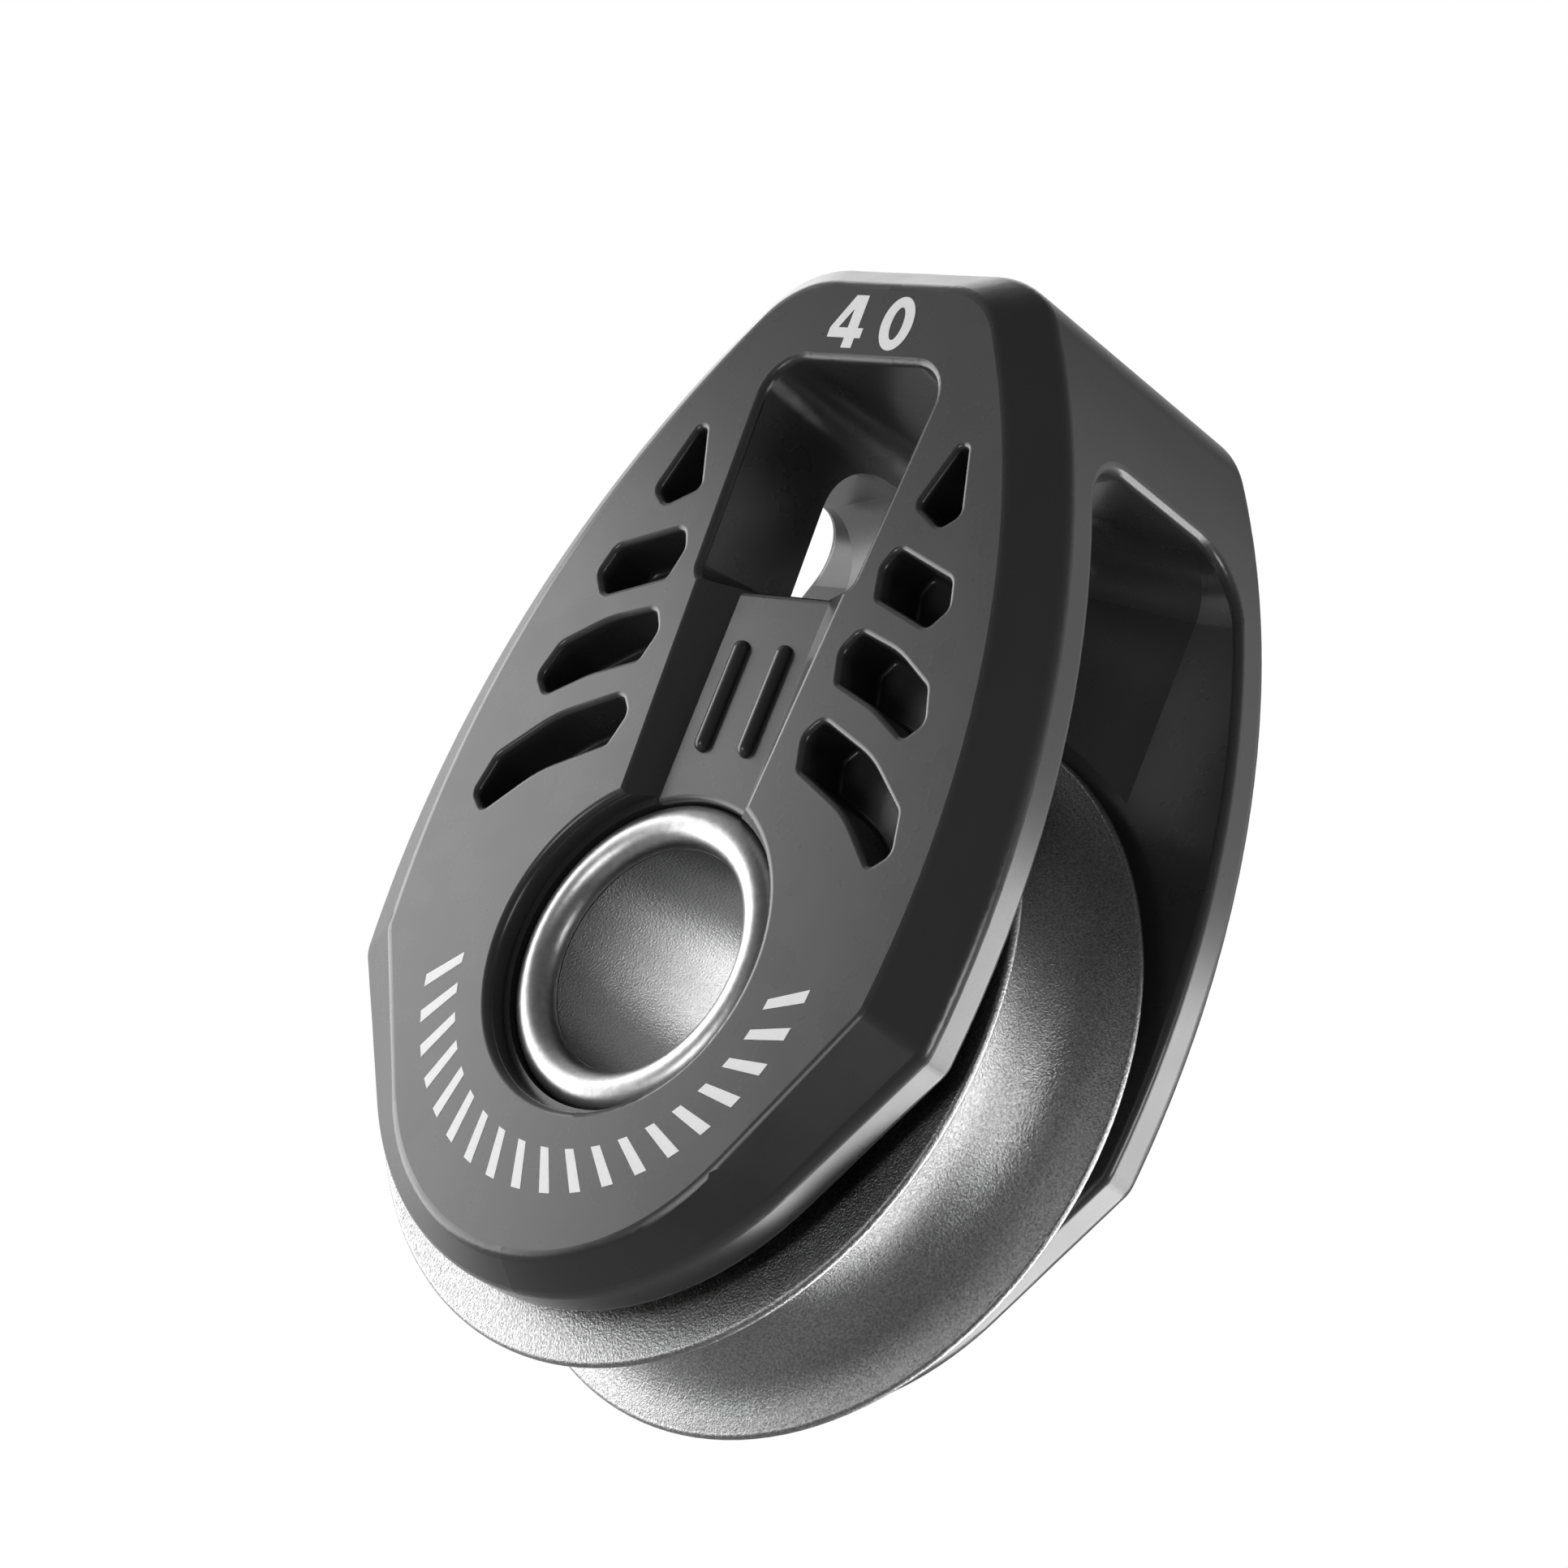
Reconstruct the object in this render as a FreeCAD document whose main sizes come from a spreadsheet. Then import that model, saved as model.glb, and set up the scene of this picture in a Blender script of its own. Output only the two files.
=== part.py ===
import FreeCAD, Part
import math
import os
import Sketcher

V = FreeCAD.Vector

# Sailing block with a 40 mm sheave, a hollow hub and a lashing head.
# Frame: origin at the hub centre, +Z up to the head, Y along the sheave axis,
# the front cheek faces -Y.  Millimetres.

doc = FreeCAD.newDocument("lashing_block")

# ---------------------------------------------------------------- sizes
SIZES = [
    # cheeks and head
    ("half_width", 10.4, "outer face of each cheek from the mid plane"),
    ("edge_y", 8.55, "outer end of the straight side wall"),
    ("inner_y", 6.4, "inner face of each cheek"),
    ("edge_top", 38.3, "top of the head at the side wall"),
    ("face_top", 36.6, "top of the head on the cheek face"),
    ("throat_top", 30.0, "ceiling of the rope space above the sheave"),
    ("throat_round", 3.2, "rounding between ceiling and cheek"),
    ("collar_y", 4.2, "inner face of the collars around the lashing opening"),
    ("collar_x", 6.5, "half width of the flat part of a collar"),
    ("collar_end", 12.3, "where a collar has run out into the cheek"),
    ("cavity_r", 20.75, "round space for the sheave between the cheeks"),
    ("face_round", 0.7, "rounding of the cheek face edge"),
    ("wall_round", 0.8, "rounding between chamfer and side wall"),
    ("rope_round", 0.45, "rounding where the rope space opens"),
    ("slot_round", 0.3, "rounding of the pocket rims"),
    ("floor_round", 0.25, "rounding at the bottom of the pockets"),
    ("mouth_round", 0.4, "rounding of opening, groove and recess rims"),
    ("lip_round", 0.35, "rounding of the groove floor lips"),
    ("recess_r", 8.75, "round recess for the hub end ring"),
    ("recess_depth", 1.2, "depth of the recess rim"),
    ("seat_r", 8.3, "inner step of the recess"),
    ("seat_depth", 2.8, "depth of the seat below the face"),
    ("hub_hole_r", 6.83, "hole in the cheek for the hub tube"),
    ("slot_depth", 3.1, "depth of the fishbone pockets"),
    ("groove_depth", 1.3, "depth of the lashing groove"),
    ("rib_spacing", 3.0, "distance between the two groove ribs"),
    ("rib_r", 0.48, "radius of a groove rib"),
    ("rib_low", 11.3, "lower centre of a groove rib"),
    ("rib_length", 5.2, "centre to centre length of a groove rib"),
    # hub
    ("bore_r", 6.0, "through bore of the hub"),
    ("tube_r", 6.8, "outside of the hub tube"),
    ("tube_y", 8.25, "half length of the hub tube"),
    ("bead_r", 1.12, "radius of the rolled end ring"),
    ("bead_ring_r", 7.13, "centre circle of the end ring"),
    ("bead_y", 8.32, "centre plane of the end ring"),
    ("bead_back_y", 7.65, "flat back of the end ring on its seat"),
    ("rebate_r", 6.82, "rebate of the end ring over the tube"),
    ("rebate_y", 8.3, "bottom of that rebate"),
    # bearing
    ("race_bore_r", 6.83, "bore of the inner race"),
    ("race_r", 9.1, "land of the inner race"),
    ("race_y", 5.85, "half length of the inner race"),
    ("pitch_r", 9.7, "centre circle of the balls"),
    ("ball_r", 1.5875, "ball radius, 1/8 inch balls"),
    ("track_r", 1.64, "radius of the ball tracks"),
    ("row_y", 2.5, "distance of each ball row from the mid plane"),
    ("washer_in_r", 6.86, "bore of the thrust washer"),
    ("washer_r", 9.0, "outside of the thrust washer"),
    ("washer_t", 0.45, "thickness of the thrust washer"),
    ("cover_in_r", 9.35, "bore of the ball retaining ring"),
    ("cover_r", 12.97, "outside of the ball retaining ring"),
    ("cover_in_y", 4.35, "inner face of the retaining ring"),
    ("cover_out_y", 5.2, "outer face of the retaining ring"),
    # sheave
    ("sheave_r", 20.0, "rim radius of the sheave"),
    ("sheave_y", 5.37, "half width of the sheave"),
    ("groove_r", 15.7, "bottom of the rope groove"),
    ("rim_y", 4.85, "groove edge at the rim"),
    ("land_r", 10.3, "bore of the sheave between the ball tracks"),
    ("pocket_r", 13.0, "counterbore for the retaining ring"),
    ("pocket_y", 4.33, "bottom of that counterbore"),
]
BALLS_PER_ROW = 18

sheet = doc.addObject("Spreadsheet::Sheet", "Sizes")
size = {}
for row, (alias, value, note) in enumerate(SIZES, start=1):
    sheet.set("A%d" % row, alias)
    sheet.set("B%d" % row, str(value))
    sheet.set("C%d" % row, note)
    sheet.setAlias("B%d" % row, alias)
    size[alias] = value
doc.recompute()


# -------------------------------------------------------------- helpers
def new_body(label):
    body = doc.addObject("PartDesign::Body", "Body_" + label)
    body.Label = label
    return body


def origin_plane(body, name):
    for item in body.Origin.OriginFeatures:
        if name in item.Name:
            return item
    raise RuntimeError("no plane " + name)


def sketch_on(body, name, plane, offset=None):
    """A sketch on an origin plane, moved along its normal by an expression."""
    sk = body.newObject("Sketcher::SketchObject", name)
    sk.AttachmentSupport = [(origin_plane(body, plane), "")]
    sk.MapMode = "FlatFace"
    if offset:
        sk.setExpression("AttachmentOffset.Base.z", offset)
    return sk


def add_path(sk, steps):
    """Closed chain of lines and arcs.

    steps is a list of ("line", end) and ("arc", middle, end); the chain
    starts at the end of the last step.
    """
    here = steps[-1][-1]
    for step in steps:
        end = step[-1]
        a = V(here[0], here[1], 0)
        b = V(end[0], end[1], 0)
        if step[0] == "line":
            sk.addGeometry(Part.LineSegment(a, b), False)
        else:
            mid = V(step[1][0], step[1][1], 0)
            sk.addGeometry(Part.Arc(a, mid, b), False)
        here = end


def mirror_steps(steps, start):
    """The steps of a right-hand half chain, walked back on the left."""
    points = [start] + [step[-1] for step in steps]
    back = []
    for i in range(len(steps) - 1, -1, -1):
        end = (-points[i][0], points[i][1])
        if steps[i][0] == "line":
            back.append(("line", end))
        else:
            mid = steps[i][1]
            back.append(("arc", (-mid[0], mid[1]), end))
    return back


def rounded(points, radii):
    """A polygon with rounded corners as a list of line and arc steps."""
    steps = []
    count = len(points)
    for i in range(count):
        p = V(points[i][0], points[i][1], 0)
        before = V(points[i - 1][0], points[i - 1][1], 0)
        after = V(points[(i + 1) % count][0], points[(i + 1) % count][1], 0)
        u = (before - p).normalize()
        w = (after - p).normalize()
        half = u.getAngle(w) / 2
        r = radii[i]
        reach = r / math.tan(half)
        enter = p + u * reach
        leave = p + w * reach
        centre = p + (u + w).normalize() * (r / math.sin(half))
        middle = centre + (p - centre).normalize() * r
        steps.append(("line", (enter.x, enter.y)))
        steps.append(("arc", (middle.x, middle.y), (leave.x, leave.y)))
    return steps


def inset(points, distance):
    """A polygon shrunk by the same distance on every side."""
    shrunk = []
    count = len(points)
    turning = sum(points[i - 1][0] * points[i][1] - points[i][0] * points[i - 1][1]
                  for i in range(count))
    way = math.copysign(1, turning)
    for i in range(count):
        p = V(points[i][0], points[i][1], 0)
        u = (p - V(points[i - 1][0], points[i - 1][1], 0)).normalize()
        after = points[(i + 1) % count]
        w = (V(after[0], after[1], 0) - p).normalize()
        normal_u = V(-u.y, u.x, 0) * way
        normal_w = V(-w.y, w.x, 0) * way
        shift = (normal_u + normal_w) * (distance / (1 + normal_u.dot(normal_w)))
        shrunk.append((p.x + shift.x, p.y + shift.y))
    return shrunk


def on_circle(centre, r, angle):
    return (centre[0] + r * math.cos(angle), centre[1] + r * math.sin(angle))


def cheek_outline(top, corner_r, flank_c, flank_r, shoulder_z, nose_c, nose_r, shoulder_r):
    """Teardrop outline: flat head, bulging flanks, shoulders and a round nose."""
    reach = flank_r - corner_r
    rise = top - corner_r - flank_c[1]
    head_c = (flank_c[0] + math.sqrt(reach ** 2 - rise ** 2), top - corner_r)
    head_end = math.atan2(head_c[1] - flank_c[1], head_c[0] - flank_c[0])
    corner = (flank_c[0] + math.sqrt(flank_r ** 2 - (shoulder_z - flank_c[1]) ** 2), shoulder_z)
    dx = corner[0] - nose_c[0]
    dz = corner[1] - nose_c[1]
    nose_end = math.atan2(dz, dx) - math.acos(nose_r / math.hypot(dx, dz))
    nose_start = on_circle(nose_c, nose_r, nose_end)
    # rounded shoulder between the flank (taken as straight there) and the lower side
    p = V(corner[0], corner[1], 0)
    flank_dir = math.atan2(corner[1] - flank_c[1], corner[0] - flank_c[0])
    up = V(-math.sin(flank_dir), math.cos(flank_dir), 0)
    down = (V(nose_start[0], nose_start[1], 0) - p).normalize()
    half = up.getAngle(down) / 2
    lead = shoulder_r / math.tan(half)
    leave_angle = flank_dir + lead / flank_r
    enter = on_circle(flank_c, flank_r, leave_angle)
    leave = p + down * lead
    centre = p + (up + down).normalize() * (shoulder_r / math.sin(half))
    bulge = centre + (p - centre).normalize() * shoulder_r
    start = (0.0, top)
    half_chain = [
        ("line", (head_c[0], top)),
        ("arc", on_circle(head_c, corner_r, (math.pi / 2 + head_end) / 2),
         on_circle(head_c, corner_r, head_end)),
        ("arc", on_circle(flank_c, flank_r, (head_end + leave_angle) / 2), enter),
        ("arc", (bulge.x, bulge.y), (leave.x, leave.y)),
        ("line", nose_start),
        ("arc", on_circle(nose_c, nose_r, (nose_end - math.pi / 2) / 2),
         on_circle(nose_c, nose_r, -math.pi / 2)),
    ]
    return half_chain + mirror_steps(half_chain, start)


EDGE = cheek_outline(size["edge_top"], 6.0, (-34.2, 4.1), 54.4, -2.4, (0.0, 0.0), 17.7, 1.6)
FACE = cheek_outline(size["face_top"], 5.0, (-33.5, 5.4), 50.7, -1.3, (0.0, -3.0), 13.4, 1.2)

# name, sign of the sketch offset and cutting direction of each cheek
SIDES = (("Front", "", False), ("Rear", "-", True))

# fishbone pockets of the right-hand side, from the head down
SLOTS = [
    ([(8.75, 28.3), (7.3, 24.5), (9.6, 23.2), (10.9, 24.2), (9.6, 28.1)],
     [0.55, 0.7, 0.8, 0.8, 0.55]),
    ([(7.4, 22.6), (11.9, 21.1), (12.5, 19.3), (11.4, 17.9), (7.2, 19.3), (6.7, 21.2)],
     [0.8, 1.0, 0.9, 0.8, 0.7, 1.0]),
    ([(7.1, 18.0), (10.2, 17.1), (13.0, 15.4), (13.8, 13.3), (12.6, 12.1), (9.9, 13.6),
      (6.8, 14.7), (6.2, 16.6)],
     [0.8, 6.0, 1.1, 0.9, 0.7, 6.0, 0.7, 1.0]),
    ([(7.0, 13.2), (11.2, 11.5), (14.3, 8.9), (14.9, 6.5), (13.6, 5.4), (10.7, 8.1),
      (6.6, 10.0), (6.0, 12.0)],
     [0.8, 7.0, 1.1, 0.9, 0.6, 7.0, 0.7, 1.0]),
]
# lashing opening through the head, at the cheek face and at the mid plane
OPENING = ([(-5.35, 19.6), (5.35, 19.6), (6.05, 32.2), (-6.05, 32.2)], [0.9, 0.9, 2.1, 2.1])
WAIST = ([(-4.4, 20.6), (4.4, 20.6), (4.9, 31.6), (-4.9, 31.6)], [0.9, 0.9, 2.1, 2.1])
GROOVE_TOP = [(-4.35, 7.3), (4.35, 7.3), (5.15, 20.2), (-5.15, 20.2)]
GROOVE_FLOOR = [(-3.0, 7.3), (3.0, 7.3), (3.1, 20.2), (-3.1, 20.2)]


def edges_in_plane(shape, y):
    """Names of the edges that lie in the plane of constant y."""
    names = []
    for i, edge in enumerate(shape.Edges, start=1):
        box = edge.BoundBox
        if abs(box.YMin - y) < 0.02 and abs(box.YMax - y) < 0.02:
            names.append("Edge%d" % i)
    return names


def rope_edges(shape, outline):
    """Names of the edges where the rope space opens through the side walls."""
    names = []
    for i, edge in enumerate(shape.Edges, start=1):
        box = edge.BoundBox
        middle = edge.valueAt((edge.FirstParameter + edge.LastParameter) / 2)
        between = max(abs(box.YMin), abs(box.YMax)) < size["inner_y"] + 0.02
        gap = outline.distToShape(Part.Vertex(middle.x, 0, middle.z))[0]
        if between and gap < 0.02:
            names.append("Edge%d" % i)
    return names


def round_over(body, name, names, radius):
    before = body.Tip
    fillet = body.newObject("PartDesign::Fillet", name)
    fillet.Base = (before, names)
    fillet.setExpression("Radius", "Sizes." + radius)
    body.Tip = fillet
    doc.recompute()


# ---------------------------------------------------------- cheek frame
frame_body = new_body("cheek_frame")

block_sk = sketch_on(frame_body, "SideWallOutline", "XZ_Plane")
add_path(block_sk, EDGE)
block = frame_body.newObject("PartDesign::Pad", "SideWall")
block.Profile = block_sk
block.Midplane = True
block.setExpression("Length", "Sizes.edge_y * 2")
frame_body.Tip = block
doc.recompute()

for side, sign in (("Front", ""), ("Rear", "-")):
    low = sketch_on(frame_body, side + "Shoulder", "XZ_Plane", sign + "Sizes.edge_y")
    add_path(low, EDGE)
    high = sketch_on(frame_body, side + "FaceOutline", "XZ_Plane", sign + "Sizes.half_width")
    add_path(high, FACE)
    loft = frame_body.newObject("PartDesign::AdditiveLoft", side + "Chamfer")
    loft.Profile = low
    loft.Sections = [high]
    loft.Ruled = True
    frame_body.Tip = loft
    doc.recompute()


def pocket(sk, name, depth, reverse=False, through=False, midplane=False):
    cut = frame_body.newObject("PartDesign::Pocket", name)
    cut.Profile = sk
    if through:
        cut.Type = 1
        cut.Midplane = True
    else:
        cut.setExpression("Length", depth)
        cut.Midplane = midplane
    cut.Reversed = reverse
    cut.Refine = True
    frame_body.Tip = cut
    doc.recompute()
    return cut


face_edges = edges_in_plane(frame_body.Shape, -size["half_width"])
face_edges += edges_in_plane(frame_body.Shape, size["half_width"])
round_over(frame_body, "FaceRounding", face_edges, "face_round")
wall_edges = edges_in_plane(frame_body.Shape, -size["edge_y"])
wall_edges += edges_in_plane(frame_body.Shape, size["edge_y"])
round_over(frame_body, "WallRounding", wall_edges, "wall_round")

# space between the cheeks for the rope and the sheave, open to both sides and
# below; the cheeks stand closer together in the collars round the opening


def throat_section(name, half_width, low, offset=None):
    """Arched cross-section of the rope space down to the height low."""
    sk = sketch_on(frame_body, name, "YZ_Plane", offset)
    top = size["throat_top"]
    r = size["throat_round"]
    corners = [(-half_width, low), (half_width, low), (half_width, top), (-half_width, top)]
    add_path(sk, rounded(corners, [0.5, 0.5, r, r]))
    return sk


pocket(throat_section("ThroatCore", size["collar_y"], -30.0), "Throat", None, through=True)
for hand, sign, outward in (("Right", "", True), ("Left", "-", False)):
    near = throat_section(hand + "CollarFlat", size["collar_y"], 12.0, sign + "Sizes.collar_x")
    far = throat_section(hand + "CollarEnd", size["inner_y"], 12.0, sign + "Sizes.collar_end")
    taper = frame_body.newObject("PartDesign::SubtractiveLoft", hand + "CollarTaper")
    taper.Profile = near
    taper.Sections = [far]
    taper.Ruled = True
    taper.Refine = True
    frame_body.Tip = taper
    doc.recompute()
    outer = throat_section(hand + "RopeExit", size["inner_y"], -30.0, sign + "Sizes.collar_end")
    pocket(outer, hand + "RopeExitCut", "Sizes.half_width", outward)

cavity_sk = sketch_on(frame_body, "CavitySketch", "XZ_Plane")
cavity_sk.addGeometry(Part.Circle(V(0, 0, 0), V(0, 0, 1), size["cavity_r"]), False)
cavity_sk.addConstraint(Sketcher.Constraint("Coincident", 0, 3, -1, 1))
k = cavity_sk.addConstraint(Sketcher.Constraint("Radius", 0, size["cavity_r"]))
cavity_sk.setExpression("Constraints[%d]" % k, "Sizes.cavity_r")
pocket(cavity_sk, "SheaveCavity", "Sizes.inner_y * 2", midplane=True)
round_over(frame_body, "RopeRounding", rope_edges(frame_body.Shape, block_sk.Shape), "rope_round")

# hub hole through both cheeks
hub_sk = sketch_on(frame_body, "HubHoleSketch", "XZ_Plane")
hub_sk.addGeometry(Part.Circle(V(0, 0, 0), V(0, 0, 1), size["hub_hole_r"]), False)
hub_sk.addConstraint(Sketcher.Constraint("Coincident", 0, 3, -1, 1))
k = hub_sk.addConstraint(Sketcher.Constraint("Radius", 0, size["hub_hole_r"]))
hub_sk.setExpression("Constraints[%d]" % k, "Sizes.hub_hole_r")
pocket(hub_sk, "HubHole", None, through=True)

# fishbone pockets on both sides of the groove
for side, sign, reverse in SIDES:
    face = sign + "Sizes.half_width"
    for number, (points, radii) in enumerate(SLOTS, start=1):
        sk = sketch_on(frame_body, "%sSlot%d" % (side, number), "XZ_Plane", face)
        cut = inset(points, size["slot_round"])
        corners = [max(r - size["slot_round"], 0.3) for r in radii]
        add_path(sk, rounded(cut, corners))
        left = [(-x, z) for x, z in reversed(cut)]
        add_path(sk, rounded(left, list(reversed(corners))))
        pocket(sk, "%sSlotCut%d" % (side, number), "Sizes.slot_depth", reverse)


def inner_rims(shape, y):
    """Edges in a cheek face that don't belong to its outer border."""
    names = []
    for name in edges_in_plane(shape, y):
        edge = shape.getElement(name)
        box = edge.BoundBox
        reach = max(abs(box.XMin), abs(box.XMax))
        if reach < 15.3 and -9.5 < box.ZMin and box.ZMax < 33.5:
            names.append(name)
    return names


slot_rims = inner_rims(frame_body.Shape, -size["half_width"])
slot_rims += inner_rims(frame_body.Shape, size["half_width"])
round_over(frame_body, "SlotRounding", slot_rims, "slot_round")
slot_floor = size["half_width"] - size["slot_depth"]
floor_edges = edges_in_plane(frame_body.Shape, -slot_floor)
floor_edges += edges_in_plane(frame_body.Shape, slot_floor)
round_over(frame_body, "SlotFloorRounding", floor_edges, "floor_round")

for side, sign, reverse in SIDES:
    face = sign + "Sizes.half_width"
    # lashing opening, waisted towards the mid plane
    mouth = sketch_on(frame_body, side + "Opening", "XZ_Plane", face)
    add_path(mouth, rounded(*OPENING))
    waist = sketch_on(frame_body, side + "Waist", "XZ_Plane")
    add_path(waist, rounded(*WAIST))
    tunnel = frame_body.newObject("PartDesign::SubtractiveLoft", side + "Tunnel")
    tunnel.Profile = mouth
    tunnel.Sections = [waist]
    tunnel.Ruled = True
    frame_body.Tip = tunnel
    doc.recompute()
    # lashing groove from the opening down to the hub
    groove = sketch_on(frame_body, side + "GrooveMouth", "XZ_Plane", face)
    add_path(groove, rounded(GROOVE_TOP, [0.3, 0.3, 0.3, 0.3]))
    floor = sketch_on(frame_body, side + "GrooveFloor", "XZ_Plane",
                      sign + "(Sizes.half_width - Sizes.groove_depth)")
    add_path(floor, rounded(GROOVE_FLOOR, [0.3, 0.3, 0.3, 0.3]))
    channel = frame_body.newObject("PartDesign::SubtractiveLoft", side + "Groove")
    channel.Profile = groove
    channel.Sections = [floor]
    channel.Ruled = True
    frame_body.Tip = channel
    doc.recompute()
    # round recess and seat for the hub end ring
    for name, radius, depth in (("Recess", "recess_r", "recess_depth"),
                                ("Seat", "seat_r", "seat_depth")):
        ring = sketch_on(frame_body, side + name + "Sketch", "XZ_Plane", face)
        ring.addGeometry(Part.Circle(V(0, 0, 0), V(0, 0, 1), size[radius]), False)
        ring.addConstraint(Sketcher.Constraint("Coincident", 0, 3, -1, 1))
        k = ring.addConstraint(Sketcher.Constraint("Radius", 0, size[radius]))
        ring.setExpression("Constraints[%d]" % k, "Sizes." + radius)
        pocket(ring, side + name, "Sizes." + depth, reverse)

mouth_rims = []
for y in (-size["half_width"], size["half_width"]):
    for name in inner_rims(frame_body.Shape, y):
        edge = frame_body.Shape.getElement(name)
        near_hub = max(abs(edge.BoundBox.XMin), abs(edge.BoundBox.XMax)) < size["recess_r"] + 0.1
        middle = edge.CenterOfMass
        if near_hub and (abs(middle.x) < 5.9 or middle.z < 9):
            mouth_rims.append(name)
round_over(frame_body, "MouthRounding", mouth_rims, "mouth_round")

# lips of the groove floor at the opening and at the recess
groove_floor = size["half_width"] - size["groove_depth"]
lips = []
for y in (-groove_floor, groove_floor):
    for name in edges_in_plane(frame_body.Shape, y):
        edge = frame_body.Shape.getElement(name)
        if abs(edge.CenterOfMass.x) < 0.5:
            lips.append(name)
round_over(frame_body, "LipRounding", lips, "lip_round")

# two long ribs on the floor of each lashing groove
for side, sign, reverse in SIDES:
    for hand in (-1, 1):
        sk = sketch_on(frame_body, "%sRib%s" % (side, "LR"[hand > 0]), "XZ_Plane",
                       sign + "(Sizes.half_width - Sizes.groove_depth)")
        x = hand * size["rib_spacing"] / 2
        low = size["rib_low"]
        high = low + size["rib_length"]
        r = size["rib_r"]
        add_path(sk, [
            ("arc", (x + r * math.sin(math.pi / 4), low - r * math.cos(math.pi / 4)), (x + r, low)),
            ("line", (x + r, high)),
            ("arc", (x + r * math.sin(math.pi / 4), high + r * math.cos(math.pi / 4)), (x, high + r)),
            ("line", (x, low - r)),
        ])
        rib = frame_body.newObject("PartDesign::Revolution", "%sRib%sTurned" % (side, "LR"[hand > 0]))
        rib.Profile = sk
        rib.ReferenceAxis = (sk, ["Edge4"])
        rib.Angle = 360
        frame_body.Tip = rib
        doc.recompute()


# ------------------------------------------------------ turned pieces
def turned(label, steps):
    """A revolved body; steps are (radius, y) points of the half section."""
    body = new_body(label)
    sk = sketch_on(body, label + "_section", "XY_Plane")
    add_path(sk, steps)
    rev = body.newObject("PartDesign::Revolution", label + "_turned")
    rev.Profile = sk
    rev.ReferenceAxis = (sk, ["V_Axis"])
    rev.Angle = 360
    body.Tip = rev
    doc.recompute()
    return body


def track(y_row, side):
    """Ball track arc cut by a land: side -1 inner race, +1 sheave."""
    land = size["race_r"] if side < 0 else size["land_r"]
    reach = math.sqrt(size["track_r"] ** 2 - (land - size["pitch_r"]) ** 2)
    bottom = size["pitch_r"] + side * size["track_r"]
    return (land, y_row - reach), (bottom, y_row), (land, y_row + reach)


s = size
turned("hub_tube", [
    ("line", (s["bore_r"], -s["tube_y"])),
    ("line", (s["tube_r"], -s["tube_y"])),
    ("line", (s["tube_r"], s["tube_y"])),
    ("line", (s["bore_r"], s["tube_y"])),
])

# where the round section of an end ring meets its rebate and its flat back
rebate_dy = s["rebate_y"] - s["bead_y"]
inner_r = s["bead_ring_r"] - math.sqrt(s["bead_r"] ** 2 - rebate_dy ** 2)
back_dy = s["bead_y"] - s["bead_back_y"]
back_r = s["bead_ring_r"] + math.sqrt(s["bead_r"] ** 2 - back_dy ** 2)
back_turn = math.asin(back_dy / s["bead_r"]) / 2
for label, way in (("hub_end_ring_front", -1), ("hub_end_ring_rear", 1)):
    centre = (s["bead_ring_r"], way * s["bead_y"])
    turned(label, [
        ("line", (inner_r, way * s["rebate_y"])),
        ("arc", (s["bead_ring_r"], way * (s["bead_y"] + s["bead_r"])),
         (s["bead_ring_r"] + s["bead_r"], way * s["bead_y"])),
        ("arc", on_circle(centre, s["bead_r"], -way * back_turn), (back_r, way * s["bead_back_y"])),
        ("line", (s["rebate_r"], way * s["bead_back_y"])),
        ("line", (s["rebate_r"], way * s["rebate_y"])),
    ])

lower = track(-s["row_y"], -1)
upper = track(s["row_y"], -1)
turned("inner_race", [
    ("line", (s["race_bore_r"], -s["race_y"])),
    ("line", (s["race_r"], -s["race_y"])),
    ("line", lower[0]),
    ("arc", lower[1], lower[2]),
    ("line", upper[0]),
    ("arc", upper[1], upper[2]),
    ("line", (s["race_r"], s["race_y"])),
    ("line", (s["race_bore_r"], s["race_y"])),
])

for label, way in (("thrust_washer_front", -1), ("thrust_washer_rear", 1)):
    near = way * (s["race_y"] + 0.04)
    far = near + way * s["washer_t"]
    turned(label, [
        ("line", (s["washer_in_r"], near)),
        ("line", (s["washer_r"], near)),
        ("line", (s["washer_r"], far)),
        ("line", (s["washer_in_r"], far)),
    ])

for label, way in (("ball_retainer_front", -1), ("ball_retainer_rear", 1)):
    turned(label, [
        ("line", (s["cover_in_r"], way * s["cover_in_y"])),
        ("line", (s["cover_r"], way * s["cover_in_y"])),
        ("line", (s["cover_r"], way * s["cover_out_y"])),
        ("line", (s["cover_in_r"] + 0.6, way * s["cover_out_y"])),
        ("line", (s["cover_in_r"], way * (s["cover_out_y"] - 0.35))),
    ])

lower = track(-s["row_y"], 1)
upper = track(s["row_y"], 1)
lip = 0.26
lip_mid = s["sheave_y"] - lip
turned("sheave", [
    # front side, counterbore and bore with the two ball tracks
    ("line", (s["pocket_r"], -s["sheave_y"])),
    ("line", (s["pocket_r"], -s["pocket_y"])),
    ("line", (s["land_r"], -s["pocket_y"])),
    ("line", lower[0]),
    ("arc", lower[1], lower[2]),
    ("line", upper[0]),
    ("arc", upper[1], upper[2]),
    ("line", (s["land_r"], s["pocket_y"])),
    ("line", (s["pocket_r"], s["pocket_y"])),
    ("line", (s["pocket_r"], s["sheave_y"])),
    # rear rim lip, rope groove, front rim lip
    ("line", (s["sheave_r"] - lip, s["sheave_y"])),
    ("arc", (s["sheave_r"], lip_mid), (s["sheave_r"] - lip, s["rim_y"])),
    ("line", (s["sheave_r"] - 0.9, s["rim_y"] - 0.22)),
    ("arc", (s["groove_r"], 0), (s["sheave_r"] - 0.9, -s["rim_y"] + 0.22)),
    ("line", (s["sheave_r"] - lip, -s["rim_y"])),
    ("arc", (s["sheave_r"], -lip_mid), (s["sheave_r"] - lip, -s["sheave_y"])),
])

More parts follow.
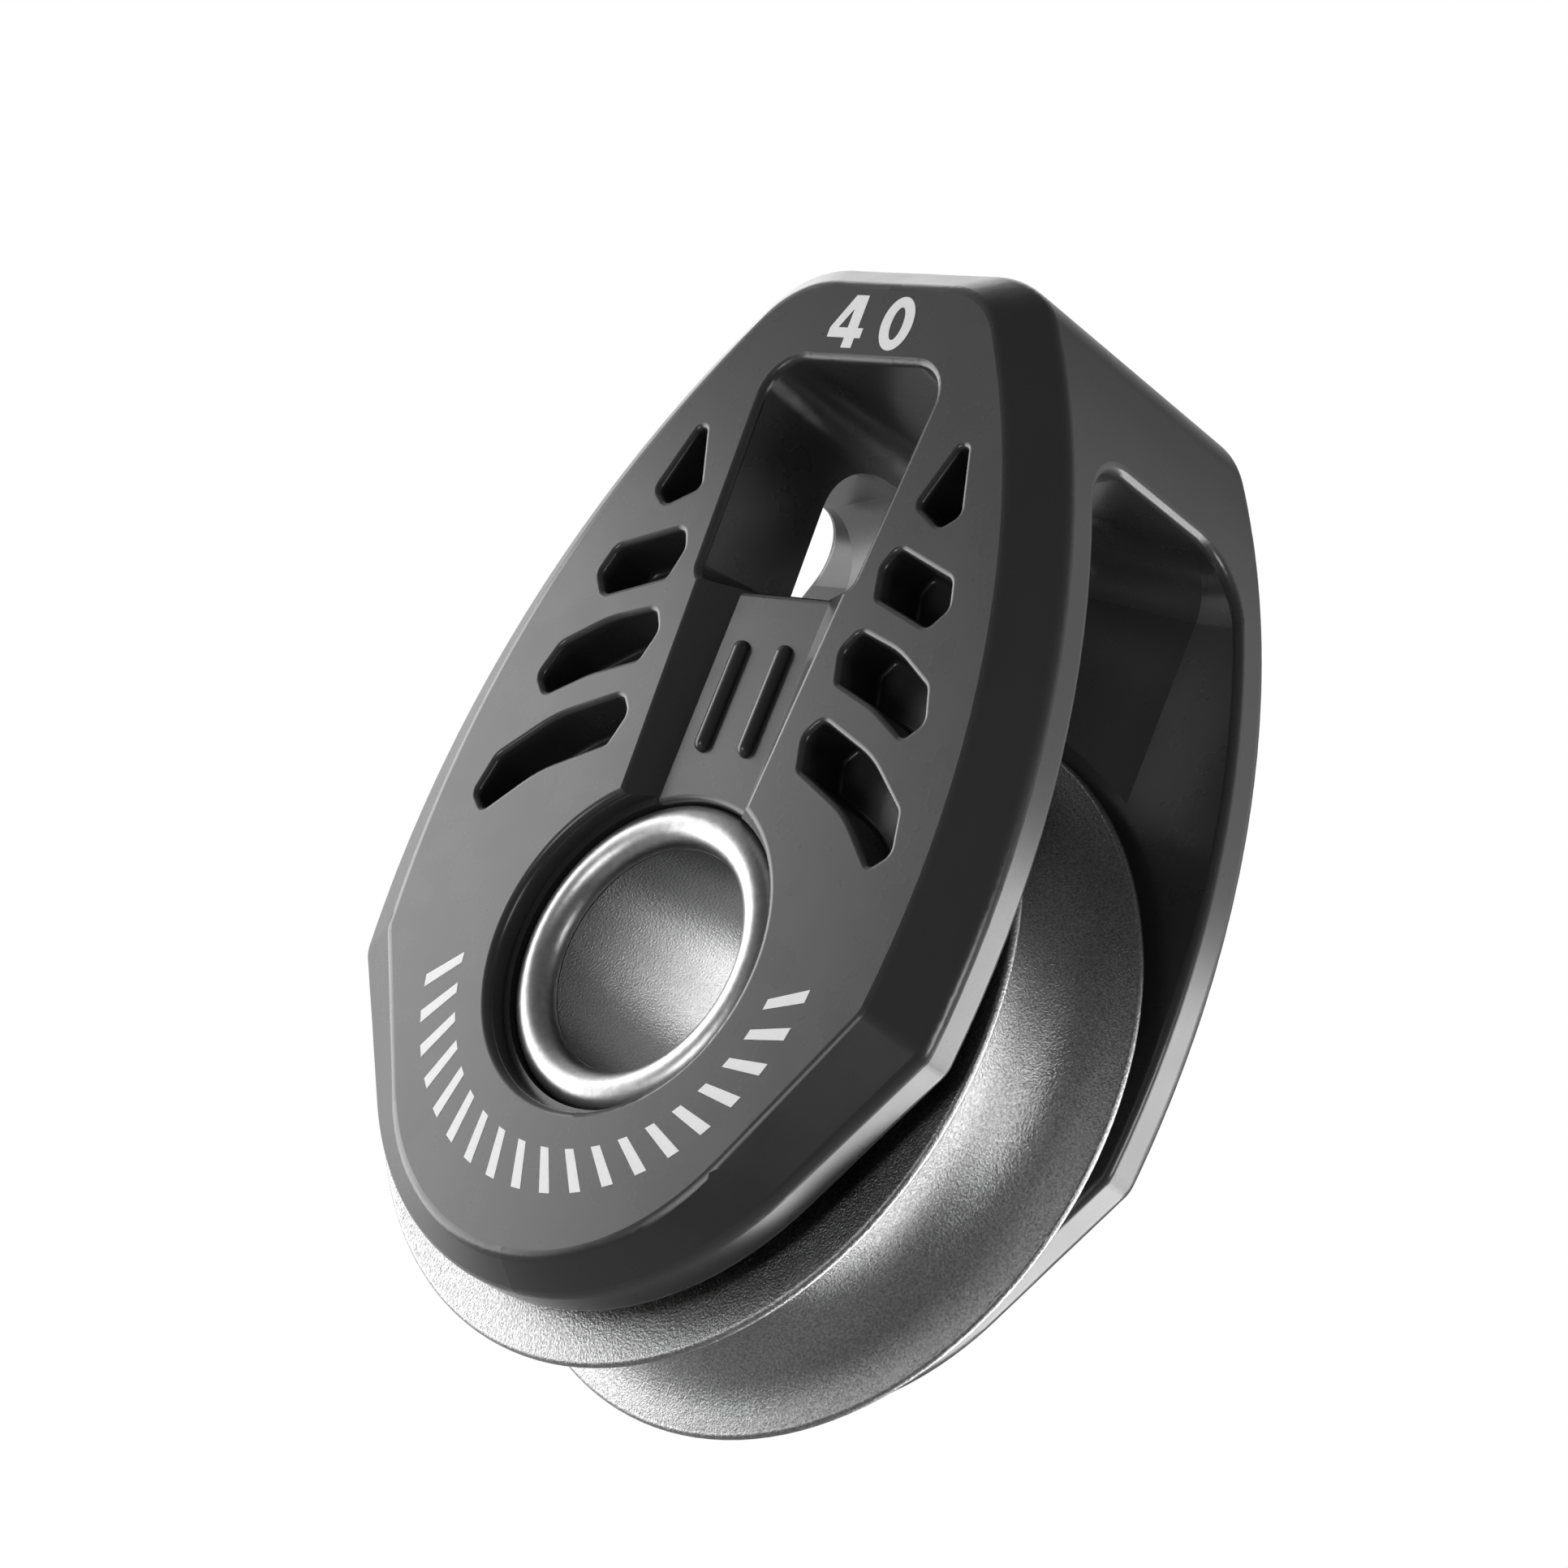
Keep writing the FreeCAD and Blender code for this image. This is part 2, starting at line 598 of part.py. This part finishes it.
# ---------------------------------------------------------------- balls
for row, way in (("front", -1), ("rear", 1)):
    for i in range(BALLS_PER_ROW):
        label = "ball_%s_%02d" % (row, i + 1)
        ball = doc.addObject("Part::Sphere", "B_" + label)
        ball.Label = label
        ball.setExpression("Radius", "Sizes.ball_r")
        turn = "%d * 360 deg / %d" % (i, BALLS_PER_ROW)
        ball.setExpression("Placement.Base.x", "Sizes.pitch_r * cos(%s)" % turn)
        ball.setExpression("Placement.Base.z", "Sizes.pitch_r * sin(%s)" % turn)
        ball.setExpression("Placement.Base.y", "%d * Sizes.row_y" % way)

doc.recompute()

# ---------------------------------------------------------------- output
for item in doc.Objects:
    for word in item.State:
        if word in ("Invalid", "Error"):
            raise RuntimeError("%s: %s" % (item.Label, item.State))

pieces = [o for o in doc.Objects if o.TypeId in ("PartDesign::Body", "Part::Sphere")]
for piece in pieces:
    shape = piece.Shape
    if shape.isNull() or not shape.isValid() or len(shape.Solids) != 1:
        raise RuntimeError("bad shape: " + piece.Label)

os.makedirs("parts", exist_ok=True)
for piece in pieces:
    piece.Shape.exportStep("parts/%s.step" % piece.Label)
    box = piece.Shape.BoundBox
    print("%-22s %9.2f mm3  %6.2f %6.2f %6.2f" % (
        piece.Label, piece.Shape.Volume, box.XLength, box.YLength, box.ZLength))
print("pieces", len(pieces))
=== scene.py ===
import math

import bpy
from mathutils import Matrix, Vector


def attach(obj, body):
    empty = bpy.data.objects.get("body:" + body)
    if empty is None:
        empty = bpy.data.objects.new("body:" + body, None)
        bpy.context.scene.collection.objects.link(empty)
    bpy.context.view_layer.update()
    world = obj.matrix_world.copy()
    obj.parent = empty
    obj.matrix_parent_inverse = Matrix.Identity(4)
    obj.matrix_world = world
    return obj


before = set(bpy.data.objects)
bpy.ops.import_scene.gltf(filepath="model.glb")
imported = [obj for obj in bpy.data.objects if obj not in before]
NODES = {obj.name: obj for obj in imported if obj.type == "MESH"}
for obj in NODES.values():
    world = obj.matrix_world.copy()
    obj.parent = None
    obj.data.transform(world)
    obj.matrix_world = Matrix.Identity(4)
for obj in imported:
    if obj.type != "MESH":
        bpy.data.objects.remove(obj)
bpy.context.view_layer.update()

# ------------------------------------------------------------------ sizes
MM = 0.001
FACE_Y = 10.4 * MM          # outer face of each cheek from the mid plane
PRINT_LIFT = 0.012 * MM     # ink stands this far proud of the plastic
FIGURE_HALF_THICK = 0.004 * MM


# -------------------------------------------------------- material helpers
def new_material(name):
    mat = bpy.data.materials.new(name)
    mat.use_nodes = True
    tree = mat.node_tree
    return mat, tree, tree.nodes["Principled BSDF"]


def put(shader, **values):
    for key, value in values.items():
        shader.inputs[key.replace("_", " ")].default_value = value


def node(tree, kind, **settings):
    made = tree.nodes.new(kind)
    for key, value in settings.items():
        if hasattr(made, key):
            setattr(made, key, value)
        else:
            made.inputs[key.replace("_", " ")].default_value = value
    return made


def coords(tree, stretch=(1, 1, 1)):
    texture = node(tree, "ShaderNodeTexCoord")
    mapping = node(tree, "ShaderNodeMapping")
    mapping.inputs["Scale"].default_value = stretch
    tree.links.new(texture.outputs["Object"], mapping.inputs["Vector"])
    return mapping.outputs["Vector"]


def noise(tree, where, scale, detail=3.0, rough=0.5):
    made = node(tree, "ShaderNodeTexNoise", Scale=scale, Detail=detail, Roughness=rough)
    tree.links.new(where, made.inputs["Vector"])
    return made.outputs["Fac"]


def ramp(tree, fac, stops):
    made = node(tree, "ShaderNodeValToRGB")
    elements = made.color_ramp.elements
    while len(elements) < len(stops):
        elements.new(0.5)
    for element, (place, colour) in zip(elements, stops):
        element.position = place
        if isinstance(colour, (int, float)):
            colour = (colour, colour, colour)
        element.color = (*colour, 1)
    tree.links.new(fac, made.inputs["Fac"])
    return made.outputs["Color"]


def bump(tree, shader, heights):
    """Chains several (height socket, strength, distance in metres) bumps."""
    last = None
    for height, strength, distance in heights:
        made = node(tree, "ShaderNodeBump", Strength=strength, Distance=distance)
        tree.links.new(height, made.inputs["Height"])
        if last:
            tree.links.new(last, made.inputs["Normal"])
        last = made.outputs["Normal"]
    tree.links.new(last, shader.inputs["Normal"])


# --------------------------------------------------------------- materials
def moulded_plastic(name, dark, light, rough_low, rough_high, grain=0.08):
    """Fibre-filled black moulding: faint flow marks, fine satin texture."""
    mat, tree, shader = new_material(name)
    where = coords(tree)
    flow = noise(tree, coords(tree, (1, 1, 0.35)), 160, 4, 0.6)
    fine = noise(tree, where, 9000, 2, 0.6)
    patch = noise(tree, where, 420, 3, 0.5)
    tree.links.new(ramp(tree, flow, [(0.3, dark), (0.7, light)]), shader.inputs["Base Color"])
    tree.links.new(ramp(tree, patch, [(0.3, rough_low), (0.7, rough_high)]),
                   shader.inputs["Roughness"])
    put(shader, Specular_IOR_Level=0.55)
    bump(tree, shader, [(fine, grain, 0.00001)])
    return mat


def blasted_metal(name, dark, light, rough_low, rough_high, scale, strength, depth):
    """Bead-blasted metal: small random dimples that glitter a little."""
    mat, tree, shader = new_material(name)
    where = coords(tree)
    grains = noise(tree, where, scale, 3, 0.65)
    cloud = noise(tree, where, 300, 3, 0.5)
    tree.links.new(ramp(tree, grains, [(0.3, dark), (0.7, light)]), shader.inputs["Base Color"])
    tree.links.new(ramp(tree, cloud, [(0.3, rough_low), (0.7, rough_high)]),
                   shader.inputs["Roughness"])
    put(shader, Metallic=1.0)
    bump(tree, shader, [(grains, strength, depth)])
    return mat


def satin_ring(name):
    """Rolled and polished ring with a little fine wear."""
    mat, tree, shader = new_material(name)
    where = coords(tree)
    wear = noise(tree, where, 2600, 4, 0.6)
    cloud = noise(tree, where, 260, 3, 0.5)
    tree.links.new(ramp(tree, wear, [(0.3, 0.40), (0.7, 0.52)]), shader.inputs["Base Color"])
    tree.links.new(ramp(tree, cloud, [(0.3, 0.32), (0.7, 0.40)]), shader.inputs["Roughness"])
    put(shader, Metallic=1.0)
    bump(tree, shader, [(wear, 0.35, 0.00003)])
    return mat


def leather_metal(name):
    """Hub bore: matt grey metal with a fine pebbled grain."""
    mat, tree, shader = new_material(name)
    where = coords(tree)
    cells = node(tree, "ShaderNodeTexVoronoi", feature="DISTANCE_TO_EDGE", Scale=5400.0,
                 Randomness=1.0)
    tree.links.new(where, cells.inputs["Vector"])
    pebbles = ramp(tree, cells.outputs["Distance"], [(0.0, 0.0), (0.35, 1.0)])
    fine = noise(tree, where, 5200, 3, 0.6)
    tree.links.new(ramp(tree, fine, [(0.3, 0.17), (0.7, 0.23)]), shader.inputs["Base Color"])
    tree.links.new(ramp(tree, fine, [(0.3, 0.36), (0.7, 0.48)]), shader.inputs["Roughness"])
    put(shader, Metallic=1.0)
    bump(tree, shader, [(pebbles, 0.3, 0.00003), (fine, 0.15, 0.00002)])
    return mat


def print_ink(name):
    mat, tree, shader = new_material(name)
    speck = noise(tree, coords(tree), 3500, 3, 0.6)
    tree.links.new(ramp(tree, speck, [(0.25, 0.90), (0.75, 0.96)]), shader.inputs["Base Color"])
    tree.links.new(ramp(tree, speck, [(0.3, 0.42), (0.7, 0.55)]), shader.inputs["Roughness"])
    bump(tree, shader, [(speck, 0.05, 0.00001)])
    return mat


PLASTIC = moulded_plastic("cheek_black", 0.032, 0.037, 0.26, 0.30)
INNER_PLASTIC = moulded_plastic("inner_black", 0.030, 0.038, 0.45, 0.55)
SHEAVE_METAL = blasted_metal("sheave_blasted", 0.19, 0.44, 0.29, 0.36, 7500, 0.85, 0.00005)
RACE_METAL = blasted_metal("race_turned", 0.50, 0.58, 0.28, 0.36, 9000, 0.10, 0.00001)
RING_METAL = satin_ring("ring_satin")
BORE_METAL = leather_metal("hub_grained")
BALL_PLASTIC = moulded_plastic("ball_acetal", 0.72, 0.78, 0.25, 0.32, 0.03)
INK = print_ink("white_ink")

FINISH = {
    "cheek_frame": PLASTIC,
    "sheave": SHEAVE_METAL,
    "hub_tube": BORE_METAL,
    "hub_end_ring_front": RING_METAL,
    "hub_end_ring_rear": RING_METAL,
    "inner_race": RACE_METAL,
    "thrust_washer_front": INNER_PLASTIC,
    "thrust_washer_rear": INNER_PLASTIC,
    "ball_retainer_front": INNER_PLASTIC,
    "ball_retainer_rear": INNER_PLASTIC,
}


def finish_node(obj, mat):
    """Puts the finish on every slot of a carried-over piece."""
    for slot in obj.material_slots:
        slot.material = mat
    if not obj.material_slots:
        obj.data.materials.append(mat)


for name, obj in NODES.items():
    finish_node(obj, FINISH.get(name, BALL_PLASTIC))


# ------------------------------------------------------------------ prints
def ink_piece(name, verts, faces, side):
    """A thin print on the front (side -1) or rear (side 1) cheek face."""
    mesh = bpy.data.meshes.new(name)
    y = side * (FACE_Y + PRINT_LIFT)
    placed = [(-side * x, y, z) for x, z in verts]
    if side > 0:
        faces = [tuple(reversed(f)) for f in faces]
    mesh.from_pydata(placed, [], faces)
    mesh.update()
    obj = bpy.data.objects.new(name, mesh)
    bpy.context.collection.objects.link(obj)
    mesh.materials.append(INK)
    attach(obj, "frame")
    return obj


def dash_arc(side, label):
    """A row of slanted dashes along an arc under the hub."""
    inner, outer = 10.8 * MM, 13.1 * MM
    count = 19
    first, last = math.radians(190.0), math.radians(352.0)
    width, lean = math.radians(3.0), math.radians(5.0)
    step = (last - first - width) / (count - 1)
    verts, faces = [], []
    for i in range(count):
        a = first + i * step
        base = len(verts)
        verts.append((inner * math.cos(a), inner * math.sin(a)))
        verts.append((outer * math.cos(a + lean), outer * math.sin(a + lean)))
        verts.append((outer * math.cos(a + lean + width), outer * math.sin(a + lean + width)))
        verts.append((inner * math.cos(a + width), inner * math.sin(a + width)))
        faces.append((base, base + 1, base + 2, base + 3))
    return ink_piece("dash_arc_" + label, verts, faces, side)


FIGURE_HEIGHT = 3.0 * MM
FIGURE_SLANT = -0.03        # sideways lean per unit of height
FIGURE_WIDEN = 1.07
FIGURE_PLACE = (0.2 * MM, 32.9 * MM)    # from the middle line, and height
ROUND_STEPS = 40            # corners of the nought's outlines

# Outlines of the figures on a height of 1, each with its inner hole.
FIGURE_FOUR = (
    [(0.33, 1.0), (0.60, 1.0), (0.60, 0.38), (0.72, 0.38), (0.72, 0.19), (0.60, 0.19),
     (0.60, 0.0), (0.38, 0.0), (0.38, 0.19), (0.0, 0.19), (0.0, 0.37)],
    [(0.38, 0.38), (0.38, 0.74), (0.18, 0.38)],
)


def figure_ring(width, height):
    """Elliptical outline round the middle of the nought."""
    middle_x, middle_z = 0.33, 0.5
    turns = [2 * math.pi * i / ROUND_STEPS for i in range(ROUND_STEPS)]
    return [(middle_x + width / 2 * math.cos(t), middle_z + height / 2 * math.sin(t))
            for t in turns]


FIGURE_NOUGHT = (figure_ring(0.66, 1.02), figure_ring(0.25, 0.62))
# each figure's outlines and where it starts along the line
FIGURES = ((FIGURE_FOUR, -0.87), (FIGURE_NOUGHT, 0.20))


def size_number(side, label):
    """The sheave size, 40, as slanted bold figures on the head."""
    curve = bpy.data.curves.new("size_number_" + label, "CURVE")
    curve.dimensions = "2D"
    curve.fill_mode = "BOTH"
    curve.extrude = FIGURE_HALF_THICK
    curve.materials.append(INK)
    for outlines, start in FIGURES:
        for outline in outlines:
            spline = curve.splines.new("POLY")
            spline.use_cyclic_u = True
            spline.points.add(len(outline) - 1)
            for point, (x, z) in zip(spline.points, outline):
                x += start + FIGURE_SLANT * z
                point.co = (x * FIGURE_WIDEN * FIGURE_HEIGHT, z * FIGURE_HEIGHT, 0, 1)
    obj = bpy.data.objects.new("size_number_" + label, curve)
    bpy.context.collection.objects.link(obj)
    turn = Matrix.Rotation(math.radians(90), 4, "X")
    if side > 0:
        turn = Matrix.Rotation(math.radians(180), 4, "Z") @ turn
    across, height = FIGURE_PLACE
    place = Vector((side * across, side * (FACE_Y + PRINT_LIFT), height))
    obj.matrix_world = Matrix.Translation(place) @ turn
    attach(obj, "frame")
    return obj


for side, label in ((-1, "front"), (1, "rear")):
    dash_arc(side, label)
    size_number(side, label)


# ------------------------------------------------------- floor, light, view
def stage_floor():
    """Plain pale floor well below the block, which hangs in the air."""
    mesh = bpy.data.meshes.new("floor")
    half, level = 0.45, -0.5
    corners = [(-half, -half, level), (half, -half, level), (half, half, level),
               (-half, half, level)]
    mesh.from_pydata(corners, [], [(0, 1, 2, 3)])
    obj = bpy.data.objects.new("floor", mesh)
    bpy.context.collection.objects.link(obj)
    mat, _, shader = new_material("pale_floor")
    put(shader, Base_Color=(0.86, 0.86, 0.86, 1), Roughness=0.7)
    mesh.materials.append(mat)


# Softboxes near the block: azimuth and elevation of the centre in degrees
# (azimuth 0 stands in front of the block, 90 to its right), distance, width
# and height in metres, and brightness.
SOFTBOXES = {
    "left_panel": (-64, -6, 0.13, 0.10, 0.13, 4.2),
    "top_left": (-112, 46, 0.15, 0.10, 0.10, 1.25),
    "right_side": (134, -3, 0.15, 0.08, 0.11, 8.0),
    "right_back": (150, -36, 0.17, 0.09, 0.08, 10.5),
    "right_mid": (84, -2, 0.20, 0.05, 0.08, 9.5),
    "front_low": (-4, -20, 0.20, 0.05, 0.06, 7.0),
}
LIGHT_AIM = Vector((0, 0, 10 * MM))
# Far soft light: azimuth, elevation, half angles where full and gone, strength.
FAR_LIGHTS = [
    (-95, 10, 20, 70, 0.85),
    (150, 25, 15, 40, 0.55),
]
FILL = 0.12


def softbox(name, azimuth, elevation, distance, width, height, brightness):
    a, e = math.radians(azimuth), math.radians(elevation)
    place = Vector((math.sin(a) * math.cos(e), -math.cos(a) * math.cos(e), math.sin(e)))
    place = place * distance + LIGHT_AIM
    data = bpy.data.lights.new(name, "AREA")
    data.shape = "RECTANGLE"
    data.size, data.size_y = width, height
    data.energy = brightness * math.pi * width * height
    obj = bpy.data.objects.new(name, data)
    bpy.context.collection.objects.link(obj)
    aim = (LIGHT_AIM - place).to_track_quat("-Z", "Y")
    obj.matrix_world = Matrix.Translation(place) @ aim.to_matrix().to_4x4()
    return obj


def studio_world():
    """White backdrop for the camera, soft lights for everything else."""
    world = bpy.data.worlds.new("studio")
    bpy.context.scene.world = world
    world.use_nodes = True
    tree = world.node_tree
    lights = tree.nodes["Background"]
    lights.inputs["Strength"].default_value = 1.0
    direction = tree.nodes.new("ShaderNodeTexCoord").outputs["Generated"]
    total = None
    for azimuth, elevation, full, gone, strength in FAR_LIGHTS:
        a, e = math.radians(azimuth), math.radians(elevation)
        towards = tree.nodes.new("ShaderNodeVectorMath")
        towards.operation = "DOT_PRODUCT"
        towards.inputs[1].default_value = (
            math.sin(a) * math.cos(e), -math.cos(a) * math.cos(e), math.sin(e))
        tree.links.new(direction, towards.inputs[0])
        fade = tree.nodes.new("ShaderNodeMapRange")
        fade.interpolation_type = "SMOOTHSTEP"
        fade.inputs["From Min"].default_value = math.cos(math.radians(gone))
        fade.inputs["From Max"].default_value = math.cos(math.radians(full))
        fade.inputs["To Max"].default_value = strength
        tree.links.new(towards.outputs["Value"], fade.inputs["Value"])
        add = tree.nodes.new("ShaderNodeMath")
        add.inputs[1].default_value = FILL
        if total:
            tree.links.new(total, add.inputs[1])
        tree.links.new(fade.outputs["Result"], add.inputs[0])
        total = add.outputs["Value"]
    tree.links.new(total, lights.inputs["Color"])
    seen = tree.nodes.new("ShaderNodeBackground")
    seen.inputs["Color"].default_value = (1, 1, 1, 1)
    seen.inputs["Strength"].default_value = 1.0
    path = tree.nodes.new("ShaderNodeLightPath")
    mix = tree.nodes.new("ShaderNodeMixShader")
    tree.links.new(path.outputs["Is Camera Ray"], mix.inputs["Fac"])
    tree.links.new(lights.outputs["Background"], mix.inputs[1])
    tree.links.new(seen.outputs["Background"], mix.inputs[2])
    tree.links.new(mix.outputs["Shader"], tree.nodes["World Output"].inputs["Surface"])


stage_floor()
studio_world()
for label, settings in SOFTBOXES.items():
    softbox(label, *settings)

CAMERA_PLACE = Vector((184.3, -182.44, -51.71)) * MM
CAMERA_AIM = Vector((-0.15, -4.23, 11.50)) * MM
CAMERA_ROLL = math.radians(21.85)
LENS_MM = 121.0
SENSOR_MM = 36

camera_data = bpy.data.cameras.new("camera")
camera_data.sensor_width = SENSOR_MM
camera_data.lens = LENS_MM
camera_data.clip_start = 0.01
camera = bpy.data.objects.new("camera", camera_data)
bpy.context.collection.objects.link(camera)
look = (CAMERA_AIM - CAMERA_PLACE).to_track_quat("-Z", "Y").to_matrix().to_4x4()
roll = Matrix.Rotation(CAMERA_ROLL, 4, "Z")
camera.matrix_world = Matrix.Translation(CAMERA_PLACE) @ look @ roll
bpy.context.scene.camera = camera
bpy.context.scene.view_settings.view_transform = "Standard"
